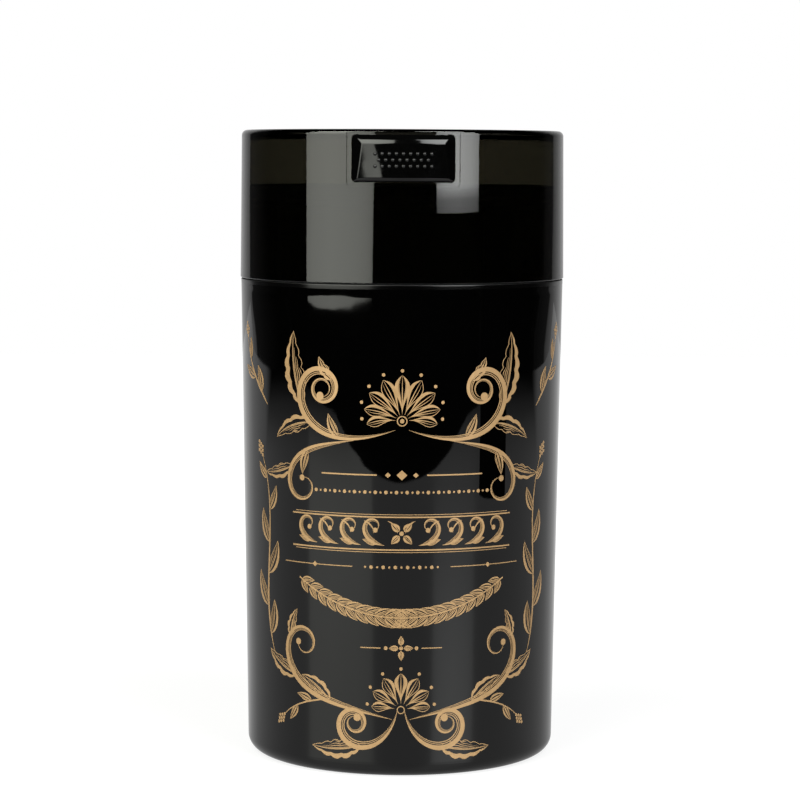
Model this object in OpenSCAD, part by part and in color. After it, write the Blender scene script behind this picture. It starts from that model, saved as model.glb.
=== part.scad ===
// Push-button vacuum canister. A telescoping smoke-tinted cap slides down over the neck of an
// opaque jar and seals on a ring near the neck's top. A soft button on the cap's front works a
// flap valve, which lets air out as the cap goes down and back in before it is lifted off.
// Millimetres, +Z up, origin at the centre of the foot, button towards -Y.

/* [Overall] */
// Outer radius of the cap's rim, the widest place of the canister
rim_r = 60.45; // [50:0.05:80]

/* [Jar] */
// Height of the shoulder that the cap comes down to
shoulder_h = 177.85; // [120:0.05:240]
// How far the shoulder lies inside the cap's rim
shoulder_inset = 0.26; // [0:0.02:0.5]
// Fillet between the shoulder and the side wall
shoulder_round = 0.4; // [0.3:0.1:3]
// Radius lost from the shoulder down to the base
body_draft = 2.7; // [1.5:0.05:3.6]
// Fillet between the side wall and the foot
base_round = 5.6; // [3:0.1:8]
// Width of the ring that the canister stands on
foot_w = 4.5; // [2:0.1:12]
// Depth of the recess inside the foot ring
foot_recess = 1.2; // [0.4:0.1:3]
// Thickness of the floor
floor_t = 3.2; // [2:0.1:6]
// Fillet between the floor and the bore
floor_round = 5; // [1:0.1:12]
// Radius that the bore loses from the neck's top down to the floor
bore_draft = 0.7; // [0.2:0.05:1.5]

/* [Neck] */
// Drop from the button's lower edge down to the neck's mouth
neck_drop = 1.4; // [1.2:0.05:10]
// Wall of the neck at its top
neck_wall = 2.7; // [2.2:0.1:5]
// Radial gap between the neck and the cap
neck_clear = 0.45; // [0.3:0.05:1]
// Fillets of the neck's mouth
mouth_round = 1.1; // [0.2:0.1:1.3]
// Distance from the neck's top down to the seal's groove
groove_drop = 3.6; // [2:0.1:8]
// Height of the seal's groove
groove_h = 4.8; // [3:0.1:8]
// Depth of the seal's groove
groove_depth = 1.3; // [0.8:0.1:1.6]

/* [Seal] */
// Play of the seal in its groove
seal_play = 0.05; // [0.02:0.01:0.15]
// Gap that the seal's lips leave to the cap's wall
lip_gap = 0.2; // [0.1:0.05:0.3]
// Height of one lip at its root
lip_root_h = 1.5; // [0.8:0.1:1.8]
// Height of one lip at its tip
lip_tip_h = 0.5; // [0.2:0.1:0.7]

/* [Cap] */
// Height of the cap
cap_h = 54.65; // [42:0.05:80]
// Gap between the cap's rim and the jar's shoulder
seam_gap = 0.3; // [0.2:0.05:0.8]
// Radius lost from the cap's rim up to its top
cap_draft = 0.45; // [0.2:0.05:1.2]
// Side wall of the cap
cap_wall = 2.2; // [1.6:0.1:3]
// Thickness of the cap's top at its edge
top_t = 2.8; // [2:0.1:5]
// Fillet between the cap's side and its top
cap_round = 2; // [0.5:0.1:2.2]
// Fillet inside the cap, between its wall and its top
ceiling_round = 1.5; // [0.5:0.1:3]
// Fillet of the rim's outer edge
rim_round = 0.3; // [0.1:0.05:0.8]
// Height of the lead-in that widens the rim's bore
lead_h = 1.2; // [0.4:0.1:3]
// Radius that the lead-in adds
lead_w = 0.35; // [0.1:0.05:0.6]
// Depth of the recess on top, which takes the foot of another canister
stack_depth = 0.8; // [0.3:0.1:1.4]
// Gap between that foot and the recess's edge
stack_clear = 0.5; // [0.2:0.1:1]
// Fillet of the recess's edge
stack_edge = 0.4; // [0.1:0.05:0.6]

/* [Button pad] */
// Width of the button
pad_w = 36.4; // [28:0.1:44]
// Height of the button
pad_h = 16.8; // [15:0.1:22]
// Corner radius of the button's outline
pad_corner = 1.6; // [0.6:0.1:4]
// Distance from the cap's top down to the button
pad_drop = 2; // [1.4:0.1:2.4]
// Play round the button in its pocket
pad_play = 0.2; // [0.1:0.05:0.3]
// Width of the thin lip round the raised face
lip_w = 0.3; // [0.2:0.05:0.5]
// Thickness of that lip
pad_lip_t = 1.05; // [0.8:0.05:1.6]
// How far the lip stands out of the land round it
lip_proud = 0.1; // [0.05:0.05:0.4]
// Width of the steep flank above and beside the face
flank_w = 1.5; // [1:0.1:2]
// Width of the steep flank below the face
chin_w = 0.6; // [0.4:0.1:1.5]
// Height of the flank
flank_h = 1.3; // [0.8:0.05:1.5]
// Width of the bevel between the flank and the face
bevel_w = 1.5; // [0.8:0.1:2]
// Height of that bevel
bevel_h = 0.75; // [0.4:0.05:0.9]
// Radius of the face, seen from above
face_bend_r = 42; // [38:0.5:56]
// How much further out the face lies at the flank's top edge than at its bottom edge
face_lean = 0.25; // [0.1:0.05:0.5]
// Number of rows of grip dots on the face
dot_rows = 3; // [1:1:3]
// Number of grip dots in the first row; every second row has one dot fewer
dot_columns = 9; // [2:1:9]
// Spacing of the dots in a row
dot_pitch = 2.5; // [2:0.1:2.6]
// Spacing of the rows
row_pitch = 2.2; // [1.8:0.1:2.4]
// Radius of a dot's dome
dot_r = 0.7; // [0.5:0.05:0.8]
// Depth to which a dome's centre lies below the face
dot_sink = 0.2; // [0.1:0.05:0.3]
// Inset of the hollow behind the face from the button's outline
hollow_inset = 3.4; // [2.8:0.1:4]
// Depth of the hollow behind the face
hollow_depth = 0.8; // [0.3:0.05:0.9]

/* [Valve] */
// Travel of the button
travel = 1.2; // [0.6:0.05:1.4]
// Gap that is left behind the pressed button
stop_gap = 0.15; // [0.1:0.05:0.3]
// Width of the shallow land that borders the button on the cap
land_w = 1.95; // [1:0.05:3]
// Depth of that land
land_depth = 0.3; // [0.15:0.05:0.4]
// Corner radius of the land's outline
land_corner = 2; // [0.6:0.1:5]
// Wall behind the button's pocket
boss_wall = 1.6; // [1.2:0.1:2]
// Border of that thicker wall round the pocket
boss_border = 1.7; // [1.2:0.1:2.4]
// Gap between the neck's top and the thicker wall
boss_gap = 0.3; // [0.2:0.05:0.6]
// Gap between the flap and the wall that it closes on
flap_gap = 0.2; // [0.1:0.05:0.3]
// Thickness of the flap
flap_t = 1.4; // [1:0.1:2]
// Width of the flap
flap_w = 27; // [24:0.1:32]
// Height of the flap
flap_h = 10; // [8:0.1:12]
// Corner radius of the flap
flap_corner = 4; // [1:0.1:4]
// Distance of each stem from the button's middle
stem_x = 9; // [7:0.1:9]
// Radius of a stem
stem_r = 1.6; // [1.2:0.05:1.8]
// Radial clearance of a stem in the cap's wall
stem_clear = 0.08; // [0.03:0.01:0.1]
// Largest radius of the stem's snap head
head_r = 2.2; // [1.9:0.05:2.4]
// Radius of the snap head's tip
head_tip_r = 1.3; // [0.8:0.05:1.6]
// Length of the snap head
head_h = 0.9; // [0.5:0.05:1]
// Depth of rubber behind the snap head
throat_t = 0.6; // [0.4:0.05:0.7]
// Play of the stem and its head in the button
head_play = 0.05; // [0.02:0.01:0.1]
// Wall round the snap head's socket
socket_wall = 1.3; // [0.8:0.1:2]
// Radius of the vent hole behind the flap
vent_r = 1.5; // [0.8:0.1:2]

/* [Hidden] */

$fn = 128;
// Steps of a quarter-turn fillet
fillet_steps = 10;
// Length by which a cut runs past a surface and a boss runs into its wall
overrun = 0.6;
// Facets of a grip dot
dot_facets = 16;
// Flat of the shoulder that stays between the neck and the fillet
ledge = 0.1;

gloss_black = [0.03, 0.03, 0.03];
seal_grey = [0.2, 0.2, 0.21];
smoke = [0.16, 0.155, 0.12, 0.7];
rubber_black = [0.07, 0.07, 0.07];

// Heights, from the foot up
floor_z = foot_recess + floor_t;
rim_z = shoulder_h + seam_gap;
top_z = rim_z + cap_h;
ceiling_z = top_z - top_t;
pad_hi = top_z - pad_drop;
pad_lo = pad_hi - pad_h;
pad_z = (pad_lo + pad_hi) / 2;
face_lo = pad_lo + lip_w;
face_hi = pad_hi - lip_w;
neck_top = pad_lo - neck_drop;
groove_hi = neck_top - groove_drop;
groove_lo = groove_hi - groove_h;

// Radii of the drafted walls at height z
function cap_out_r(z) = rim_r - cap_draft * (z - rim_z) / cap_h;
function cap_in_r(z) = cap_out_r(z) - cap_wall;
function neck_r(z) = cap_in_r(z) - neck_clear;

shoulder_r = rim_r - shoulder_inset;
base_r = shoulder_r - body_draft;
foot_r = base_r - base_round;
bore_top_r = neck_r(neck_top) - neck_wall;
bore_floor_r = bore_top_r - bore_draft;
groove_r = neck_r(groove_hi) - groove_depth;
shoulder_arc = min(shoulder_round, shoulder_r - neck_r(rim_z) - ledge);

// Another canister's foot reaches this radius where it passes the edge of the recess on top
stack_r = foot_r + sqrt(pow(base_round, 2) - pow(base_round - stack_depth, 2)) + stack_clear;

// Radii of the button and valve at the cap's front, from the outside in
land_r = cap_out_r(pad_z) - land_depth;
lip_r = land_r + lip_proud;
flank_r = lip_r + flank_h;
face_r = flank_r + bevel_h;
pad_back_r = lip_r - pad_lip_t;
pocket_r = pad_back_r - travel - stop_gap;
boss_r = pocket_r - boss_wall;
flap_out_r = boss_r - flap_gap;
flap_in_r = flap_out_r - flap_t;

// Where a line along Y at distance x from the axis meets the front of a cylinder of radius r
function front_y(r, x) = -sqrt(r * r - x * x);

// Points of a circular fillet
function arc(centre, r, from, to) = [
    for (i = [0:fillet_steps])
        let (a = from + (to - from) * i / fillet_steps)
        centre + r * [cos(a), sin(a)]
];

// Half profile of the jar: foot, side, shoulder, neck with its groove, mouth, bore and floor
jar_profile = concat(
    [[0, foot_recess], [foot_r - foot_w - foot_recess, foot_recess], [foot_r - foot_w, 0]],
    arc([foot_r, base_round], base_round, -90, 0),
    arc([shoulder_r - shoulder_arc, shoulder_h - shoulder_arc], shoulder_arc, 0, 90),
    [[neck_r(shoulder_h), shoulder_h]],
    [[neck_r(groove_lo), groove_lo], [groove_r, groove_lo]],
    [[groove_r, groove_hi], [neck_r(groove_hi), groove_hi]],
    arc([neck_r(neck_top) - mouth_round, neck_top - mouth_round], mouth_round, 0, 90),
    arc([bore_top_r + mouth_round, neck_top - mouth_round], mouth_round, 90, 180),
    arc([bore_floor_r - floor_round, floor_z + floor_round], floor_round, 0, -90),
    [[0, floor_z]]
);

// Half profile of the cap: lead-in, rim, side, top with its recess, ceiling and inner wall
cap_profile = concat(
    [[cap_in_r(rim_z + lead_h), rim_z + lead_h], [cap_in_r(rim_z) + lead_w, rim_z]],
    arc([rim_r - rim_round, rim_z + rim_round], rim_round, -90, 0),
    arc([cap_out_r(top_z) - cap_round, top_z - cap_round], cap_round, 0, 90),
    arc([stack_r + stack_edge, top_z - stack_edge], stack_edge, 90, 180),
    [[stack_r, top_z - stack_depth], [0, top_z - stack_depth], [0, ceiling_z]],
    arc([cap_in_r(ceiling_z) - ceiling_round, ceiling_z - ceiling_round], ceiling_round, 90, 0)
);

// One sealing lip as four points of the seal's profile, its middle at height z
seal_lip_r = cap_in_r(groove_hi) - lip_gap;
seal_r = neck_r(groove_hi) - seal_play;
function lip(z) = [
    [seal_r, z - lip_root_h / 2],
    [seal_lip_r, z - lip_tip_h / 2],
    [seal_lip_r, z + lip_tip_h / 2],
    [seal_r, z + lip_root_h / 2]
];

// Half profile of the seal: a band that fills the groove, with two lips
seal_lo = groove_lo + seal_play;
seal_hi = groove_hi - seal_play;
seal_profile = concat(
    [[groove_r + seal_play, seal_lo], [seal_r, seal_lo]],
    lip(seal_lo + (seal_hi - seal_lo) / 4),
    lip(seal_hi - (seal_hi - seal_lo) / 4),
    [[seal_r, seal_hi], [groove_r + seal_play, seal_hi]]
);

// Rectangle with round corners, its lower edge at z_lo and its upper edge at z_hi
module round_rect(w, z_lo, z_hi, corner) {
    h = z_hi - z_lo;
    translate([0, (z_lo + z_hi) / 2]) {
        square([w - 2 * corner, h], center = true);
        square([w, h - 2 * corner], center = true);
        for (sx = [-1, 1], sy = [-1, 1])
            translate([sx * (w / 2 - corner), sy * (h / 2 - corner)]) circle(corner);
    }
}

// Curved plate at the cap's front, between two radii, with a rounded rectangle as its outline
module front_plate(w, z_lo, z_hi, corner, r_in, r_out) {
    intersection() {
        rotate([90, 0, 0]) linear_extrude(r_out + overrun) round_rect(w, z_lo, z_hi, corner);
        translate([0, 0, z_lo - overrun]) difference() {
            cylinder(h = z_hi - z_lo + 2 * overrun, r = r_out);
            translate([0, 0, -overrun]) cylinder(h = z_hi - z_lo + 4 * overrun, r = r_in);
        }
    }
}

// Puts what is drawn along +Z at both stems, starting at y and running forwards
module at_stems(y) {
    for (side = [-1, 1]) translate([side * stem_x, y, pad_z]) rotate([90, 0, 0]) children();
}

module jar() {
    color(gloss_black) rotate_extrude() polygon(jar_profile);
}

module neck_seal() {
    color(seal_grey) rotate_extrude() polygon(seal_profile);
}

// Thicker wall behind the button's pocket, from just above the neck up into the cap's top
module valve_boss() {
    front_plate(
        pad_w + 2 * (pad_play + boss_border), neck_top + boss_gap, ceiling_z + overrun,
        pad_corner, boss_r, cap_in_r(ceiling_z) + overrun
    );
}

// Shallow land that frames the button, follows the cap's draft and runs out at the cap's top
module button_land() {
    land_lo = pad_lo - land_w;
    land_hi = top_z + land_corner + overrun;
    cone_lo = land_lo - overrun;
    cone_hi = land_hi + overrun;
    difference() {
        rotate([90, 0, 0]) linear_extrude(rim_r + overrun)
            round_rect(pad_w + 2 * land_w, land_lo, land_hi, land_corner);
        translate([0, 0, cone_lo]) cylinder(
            h = cone_hi - cone_lo,
            r1 = cap_out_r(cone_lo) - land_depth, r2 = cap_out_r(cone_hi) - land_depth
        );
    }
}

module button_pocket() {
    front_plate(
        pad_w + 2 * pad_play, pad_lo - pad_play, pad_hi + pad_play,
        pad_corner + pad_play, pocket_r, rim_r + overrun
    );
}

// Two guide holes for the stems and the vent between them, all through the boss
module valve_holes() {
    hole_h = lip_r - flap_in_r;
    at_stems(front_y(flap_in_r, stem_x)) cylinder(h = hole_h, r = stem_r + stem_clear);
    translate([0, -flap_in_r, pad_z]) rotate([90, 0, 0]) cylinder(h = hole_h, r = vent_r);
}

module cap() {
    color(smoke) difference() {
        union() {
            rotate_extrude() polygon(cap_profile);
            valve_boss();
        }
        button_land();
        button_pocket();
        valve_holes();
    }
}

// Radius of the face's cone at height z, and the face's y at distance x from the middle
function bend_r(z) = face_bend_r + face_lean * (z - pad_z) / (face_hi - face_lo);
function face_y(x, z) = face_bend_r - face_r + front_y(bend_r(z), x);

// Raised part of the button: a steep flank all round, bevels above and below, and a bent face
module pad_face() {
    half_w = pad_w / 2 - lip_w;
    side_y = front_y(flank_r, half_w - flank_w);
    intersection() {
        front_plate(
            2 * half_w, face_lo, face_hi, pad_corner - lip_w, pad_back_r, face_r + overrun
        );
        rotate_extrude() polygon([
            [0, face_lo], [lip_r, face_lo], [flank_r, face_lo + chin_w],
            [face_r + face_lean, face_lo + chin_w + bevel_w],
            [face_r + face_lean, face_hi - flank_w - bevel_w],
            [flank_r, face_hi - flank_w], [lip_r, face_hi], [0, face_hi]
        ]);
        translate([0, face_bend_r - face_r, face_lo])
            cylinder(h = face_hi - face_lo, r1 = bend_r(face_lo), r2 = bend_r(face_hi));
        translate([0, 0, face_lo]) linear_extrude(face_hi - face_lo) polygon([
            [-half_w, 0], [-half_w, front_y(lip_r, half_w)], [flank_w - half_w, side_y],
            [flank_w - half_w, -face_r - overrun], [half_w - flank_w, -face_r - overrun],
            [half_w - flank_w, side_y], [half_w, front_y(lip_r, half_w)], [half_w, 0]
        ]);
    }
}

// Rows of low domes on the face for a fingertip to feel, every second row set off by half a pitch
module grip_dots() {
    dots_z = (face_lo + chin_w + face_hi - flank_w) / 2;
    for (row = [0:dot_rows - 1]) {
        last = dot_columns - 1 - row % 2;
        z = dots_z + (row - (dot_rows - 1) / 2) * row_pitch;
        for (i = [0:last]) {
            x = (i - last / 2) * dot_pitch;
            translate([x, face_y(x, z) + dot_sink, z]) sphere(dot_r, $fn = dot_facets);
        }
    }
}

// Y of the pad's back at the stems, and where the snap heads begin
stem_back_y = front_y(pad_back_r, stem_x);
head_y = stem_back_y - throat_t;

// Hollow behind the face, with a solid collar left round each snap head
module pad_hollow() {
    difference() {
        front_plate(
            pad_w - 2 * hollow_inset, pad_lo + hollow_inset, pad_hi - hollow_inset,
            pad_corner, pad_back_r - overrun, pad_back_r + hollow_depth
        );
        at_stems(stem_back_y + 2 * overrun)
            cylinder(h = 2 * overrun + face_r - pad_back_r, r = head_r + socket_wall);
    }
}

// Undercut sockets that hold the stems' snap heads
module pad_sockets() {
    at_stems(stem_back_y + overrun)
        cylinder(h = overrun + throat_t + head_play, r = stem_r + head_play);
    at_stems(head_y + head_play) cylinder(h = head_h + 2 * head_play, r = head_r + head_play);
}

module button_pad() {
    color(rubber_black) difference() {
        union() {
            front_plate(pad_w, pad_lo, pad_hi, pad_corner, pad_back_r, lip_r);
            pad_face();
            grip_dots();
        }
        pad_hollow();
        pad_sockets();
    }
}

module valve_flap() {
    root_y = front_y(flap_out_r - flap_t / 2, stem_x);
    color(seal_grey) {
        front_plate(
            flap_w, pad_z - flap_h / 2, pad_z + flap_h / 2, flap_corner, flap_in_r, flap_out_r
        );
        at_stems(root_y) cylinder(h = root_y - head_y, r = stem_r);
        at_stems(head_y) cylinder(h = head_h, r1 = head_r, r2 = head_tip_r);
    }
}

jar();
neck_seal();
cap();
button_pad();
valve_flap();
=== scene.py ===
from math import atan, atan2, ceil, cos, degrees, hypot, pi, radians, sin, sqrt, tan

import bpy
from mathutils import Matrix, Vector


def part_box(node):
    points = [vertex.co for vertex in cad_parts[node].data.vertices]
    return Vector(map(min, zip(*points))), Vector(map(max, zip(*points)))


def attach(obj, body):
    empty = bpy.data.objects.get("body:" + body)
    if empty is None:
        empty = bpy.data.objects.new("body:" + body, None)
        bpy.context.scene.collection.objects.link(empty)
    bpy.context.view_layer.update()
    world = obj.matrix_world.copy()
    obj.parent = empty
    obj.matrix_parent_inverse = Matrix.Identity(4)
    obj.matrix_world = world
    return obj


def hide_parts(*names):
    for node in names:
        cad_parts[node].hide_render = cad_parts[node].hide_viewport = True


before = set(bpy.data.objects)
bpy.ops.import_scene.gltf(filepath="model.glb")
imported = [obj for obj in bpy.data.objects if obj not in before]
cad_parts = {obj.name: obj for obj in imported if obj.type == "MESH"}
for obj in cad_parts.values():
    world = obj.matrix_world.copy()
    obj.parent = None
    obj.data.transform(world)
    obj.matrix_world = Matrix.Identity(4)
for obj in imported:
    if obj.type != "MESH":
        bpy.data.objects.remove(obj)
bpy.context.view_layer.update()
MM = 0.001
WHITE = (1, 1, 1, 1)
# Of every plastic, rubber and ink here, and of the paper's sheen
IOR = 1.5
# Surfaces that a ray crosses on its way through both walls of the cap
BOTH_WALLS = 4

# Nodes and materials


class Nodes:
    """Adds shader nodes to a tree; an input takes a number, a colour or another node's socket."""

    def __init__(self, owner):
        owner.use_nodes = True
        self.tree = owner.node_tree
        self.tree.nodes.clear()

    def add(self, kind, inputs=None, **settings):
        node = self.tree.nodes.new("ShaderNode" + kind)
        for key, value in settings.items():
            setattr(node, key, value)
        for key, value in (inputs or {}).items():
            self.feed(node.inputs[key], value)
        return node

    def feed(self, socket, value):
        if isinstance(value, bpy.types.NodeSocket):
            self.tree.links.new(value, socket)
        else:
            socket.default_value = value

    def math(self, operation, a, b=0.0, c=0.0):
        node = self.add("Math", operation=operation)
        for socket, value in zip(node.inputs, (a, b, c)):
            self.feed(socket, value)
        return node.outputs[0]

    def smooth(self, value, low, high, to_low=0.0, to_high=1.0):
        """Smooth step from to_low to to_high as value goes from low to high."""
        limits = {"From Min": low, "From Max": high, "To Min": to_low, "To Max": to_high}
        node = self.add("MapRange", {"Value": value, **limits}, interpolation_type="SMOOTHSTEP")
        return node.outputs[0]

    def curve(self, value, points):
        """Piecewise linear function of value through the (value, level) points."""
        low, high = points[0][0], points[-1][0]
        top = max(level for _, level in points)
        share = self.add("MapRange", {"Value": value, "From Min": low, "From Max": high}).outputs[0]
        ramp = self.add("ValToRGB", {"Fac": share})
        stops = ramp.color_ramp.elements
        while len(stops) < len(points):
            stops.new(0.5)
        for stop, (at, level) in zip(stops, points):
            stop.position = (at - low) / (high - low)
            stop.color = (level / top,) * 3 + (1,)
        return self.math("MULTIPLY", ramp.outputs[0], top)

    def azimuth(self, vector):
        """Degrees round the Z axis from the front, -Y, positive to the right, +X."""
        x, y, z = self.add("SeparateXYZ", {"Vector": vector}).outputs
        angle = self.math("ARCTAN2", x, self.math("MULTIPLY", y, -1.0))
        return self.math("DEGREES", angle), z

    def place(self):
        """The place on the object, which moves with it, and its height."""
        place = self.add("TexCoord").outputs["Object"]
        return place, self.add("SeparateXYZ", {"Vector": place}).outputs["Z"]

    def noise(self, waves, detail=2.0, stretch=(1, 1, 1)):
        """Noise from 0 to 1, fixed to the object, with so many waves a metre."""
        place = self.add("Mapping", {"Vector": self.place()[0], "Scale": stretch}).outputs[0]
        return self.add("TexNoise", {"Vector": place, "Scale": waves, "Detail": detail}).outputs[0]

    def relief(self, *layers, start=None):
        """Normal bent by layers of (height from 0 to 1, depth in metres)."""
        normal = start
        for height, depth in layers:
            node = self.add("Bump", {"Height": height, "Distance": depth})
            if normal:
                self.feed(node.inputs["Normal"], normal)
            normal = node.outputs[0]
        return normal

    def tint(self, factor, first, second):
        """Colour between two (red, green, blue) colours."""
        ramp = self.add("ValToRGB", {"Fac": factor})
        for stop, colour in zip(ramp.color_ramp.elements, (first, second)):
            stop.color = (*colour, 1)
        return ramp.outputs[0]

    def sees_backdrop(self):
        """1 for a camera ray, also one that came straight through a hollow piece's two walls."""
        path = self.add("LightPath").outputs
        through = self.math("GREATER_THAN", path["Transmission Depth"], BOTH_WALLS - 0.5)
        through = self.math("MULTIPLY", through, path["Is Transmission Ray"])
        return self.math("MAXIMUM", path["Is Camera Ray"], through)

    def not_inside(self):
        """0 for a ray that has run inside one solid wall only, where the smoke swallows it."""
        path = self.add("LightPath").outputs
        short = self.math("LESS_THAN", path["Transmission Depth"], BOTH_WALLS - 0.5)
        return self.math("SUBTRACT", 1.0, self.math("MULTIPLY", short, path["Is Transmission Ray"]))

    def mix(self, factor, first, second):
        node = self.add("MixShader", {"Fac": factor})
        self.feed(node.inputs[1], first)
        self.feed(node.inputs[2], second)
        return node.outputs[0]

    def finish(self, surface, output="OutputMaterial"):
        self.add(output, {"Surface": surface})


def new_mesh(name, points, faces, smooth=False):
    mesh = bpy.data.meshes.new(name)
    mesh.from_pydata(points, [], faces)
    mesh.update()
    if smooth:
        mesh.shade_smooth()
    obj = bpy.data.objects.new(name, mesh)
    bpy.context.scene.collection.objects.link(obj)
    return obj


# Camera: the fitted view of the photograph, an 800 x 800 frame

FRAME_PX = 800
FOCAL_PX = 2761.95
SENSOR_MM = 36.0
CAMERA_AT = Vector((-0.000505, -1.0367, 0.222485))
CAMERA_PITCH = radians(5.0)
CAMERA_ROLL = 0.0048
# The canister stands turned by this angle to the camera
CAMERA_AZIMUTH = radians(-0.3)


def add_camera():
    data = bpy.data.cameras.new("camera")
    data.sensor_width = SENSOR_MM
    data.lens = SENSOR_MM * FOCAL_PX / FRAME_PX
    camera = bpy.data.objects.new("camera", data)
    bpy.context.scene.collection.objects.link(camera)
    tilt = Matrix.Rotation(pi / 2 - CAMERA_PITCH, 4, "X") @ Matrix.Rotation(CAMERA_ROLL, 4, "Z")
    turn = Matrix.Rotation(CAMERA_AZIMUTH, 4, "Z")
    camera.matrix_world = turn @ Matrix.Translation(CAMERA_AT) @ tilt
    bpy.context.scene.camera = camera


# Studio: two soft panels in front, a dark room behind the camera, white paper under and behind

PANEL_DISTANCE = 1.2
PANEL_LEAN = radians(22)
PANEL_LENGTH = 1.45
# Azimuth range, bottom edge's height, colour, and radiance across, by the share of the azimuths, and up,
# by the share of the length
LEFT_PANEL = {
    "azimuths": (-68.8, -20.9),
    "bottom": 0.0722,
    "colour": (0.98, 1.0, 0.91),
    "across": [(0, 2.55), (0.12, 3.1), (0.4, 3.5), (0.75, 3.2), (0.93, 2.75), (1, 2.2)],
    "up": [(0, 0.74), (0.03, 0.8), (0.055, 1), (0.3, 1), (0.6, 1.6), (1, 1.6)],
}
RIGHT_PANEL = {
    "azimuths": (23.2, 53.4),
    "bottom": 0.1985,
    "colour": (0.98, 1.0, 0.99),
    "across": [(0, 4.2), (0.2, 6.0), (0.5, 6.8), (0.8, 5.6), (1, 3.9)],
    "up": [(0, 0.3), (0.01, 0.4), (0.014, 1), (1, 1.1)],
}


def panel_light(spec):
    material = bpy.data.materials.new("panel_light")
    nodes = Nodes(material)
    u, v, _ = nodes.add("SeparateXYZ", {"Vector": nodes.add("TexCoord").outputs["UV"]}).outputs
    level = nodes.math("MULTIPLY", nodes.curve(u, spec["across"]), nodes.curve(v, spec["up"]))
    front = nodes.math("SUBTRACT", 1.0, nodes.add("NewGeometry").outputs["Backfacing"])
    level = nodes.math("MULTIPLY", nodes.math("MULTIPLY", level, front), nodes.not_inside())
    light = {"Color": (*spec["colour"], 1), "Strength": level}
    nodes.finish(nodes.add("Emission", light).outputs[0])
    return material


def add_panel(name, spec):
    """Flat panel square to the canister's axis, which leans in over it from its bottom edge."""
    low, high = (radians(a) for a in spec["azimuths"])
    middle = (low + high) / 2
    half = PANEL_DISTANCE * tan((high - low) / 2)
    out = Vector((sin(middle), -cos(middle), 0))
    right = Vector((cos(middle), sin(middle), 0))
    up = Vector((0, 0, cos(PANEL_LEAN))) - out * sin(PANEL_LEAN)
    corner = out * PANEL_DISTANCE + Vector((0, 0, spec["bottom"]))
    places = [(-1, 0), (1, 0), (1, 1), (-1, 1)]
    points = [corner + right * half * side + up * PANEL_LENGTH * rise for side, rise in places]
    panel = new_mesh(name, points, [(3, 2, 1, 0)])
    uv = panel.data.uv_layers.new(name="UVMap")
    for loop, (side, rise) in zip(uv.data, reversed(places)):
        loop.uv = ((side + 1) / 2, rise)
    panel.data.materials.append(panel_light(spec))
    panel.visible_camera = False


# Paper under the object: its lit level, a painted glow for reflections, its sheen, its outline and where it
# fades out at the sides
PAPER_GLOW = [
    (-180, 0.75), (-130, 0.55), (-100, 0.48), (-60, 0.42), (60, 0.42), (100, 0.44), (130, 0.48),
    (180, 0.75),
]
PAPER_SHEEN = 0.6
PAPER_ROUGHNESS = 0.28
PAPER_FADE = (0.8, 1.55)
PAPER_OUTLINE = [(0.82, -0.775), (1.05, -0.64), (1.4, -0.38), (1.55, 0.1), (1.42, 1.25), (1.84, 2.07)]
# Azimuths past which the paper no longer fades
PAPER_BACK = (105, 115)
PAPER_WHITE = 0.82
PAPER_DIFFUSE = 0.2
WHITE_FROM = (0.12, 0.5)


def paper_material():
    """White to the camera with a faint contact shadow; in reflections and bounced light it shows a painted
    glow for its lit level, by azimuth, and a sheen.
    """
    material = bpy.data.materials.new("paper")
    nodes = Nodes(material)
    place = nodes.add("NewGeometry").outputs["Position"]
    angle, _ = nodes.azimuth(place)
    reach = nodes.add("VectorMath", {0: place}, operation="LENGTH").outputs["Value"]
    behind = nodes.smooth(nodes.math("ABSOLUTE", angle), *PAPER_BACK)
    fade = nodes.math("MAXIMUM", behind, nodes.smooth(reach, *PAPER_FADE, 1.0, 0.0))
    # Painted light: the glow stands in for the lamps' light on the paper, by azimuth, faded out at the
    # sides
    glow = nodes.math("MULTIPLY", nodes.curve(angle, PAPER_GLOW), fade)
    glow = nodes.math("MULTIPLY", glow, nodes.not_inside())
    glow = nodes.add("Emission", {"Strength": glow}).outputs[0]
    gloss = {"Color": (PAPER_SHEEN,) * 3 + (1,), "Roughness": PAPER_ROUGHNESS}
    gloss = nodes.add("BsdfGlossy", gloss).outputs[0]
    dark = nodes.add("Emission", {"Strength": 0.0}).outputs[0]
    sheen = nodes.mix(nodes.add("Fresnel", {"IOR": IOR}).outputs[0], dark, gloss)
    glow = nodes.add("AddShader", {0: glow, 1: sheen}).outputs[0]
    white = nodes.smooth(reach, *WHITE_FROM, PAPER_WHITE, 1.0)
    white = nodes.add("Emission", {"Strength": white}).outputs[0]
    shade = nodes.add("BsdfDiffuse", {"Color": (PAPER_DIFFUSE,) * 3 + (1,)}).outputs[0]
    seen = nodes.add("AddShader", {0: white, 1: shade}).outputs[0]
    nodes.finish(nodes.mix(nodes.sees_backdrop(), glow, seen))
    return material


def add_paper():
    outline = PAPER_OUTLINE + [(-x, y) for x, y in reversed(PAPER_OUTLINE)]
    paper = new_mesh("paper", [(x, y, 0) for x, y in outline], [tuple(range(len(outline)))])
    paper.data.materials.append(paper_material())


# A dark card stands on the floor at the right and hides the paper behind it; only reflections see it, where
# it is painted shade
CARD_AZIMUTHS = (56, 78)
CARD_DISTANCE = 0.74
CARD_HEIGHT = 0.2
CARD_COLOUR = (0.002, 0.002, 0.002, 1)


def add_card():
    ends = [radians(a) for a in CARD_AZIMUTHS]
    foot = [(CARD_DISTANCE * sin(a), -CARD_DISTANCE * cos(a)) for a in ends]
    points = [(x, y, z) for z in (0, CARD_HEIGHT) for x, y in foot]
    card = new_mesh("dark_card", points, [(0, 1, 3, 2)])
    material = bpy.data.materials.new("dark_card")
    nodes = Nodes(material)
    nodes.finish(nodes.add("BsdfDiffuse", {"Color": CARD_COLOUR}).outputs[0])
    card.data.materials.append(material)
    card.visible_camera = card.visible_transmission = card.visible_shadow = False
    card.visible_diffuse = False


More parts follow.
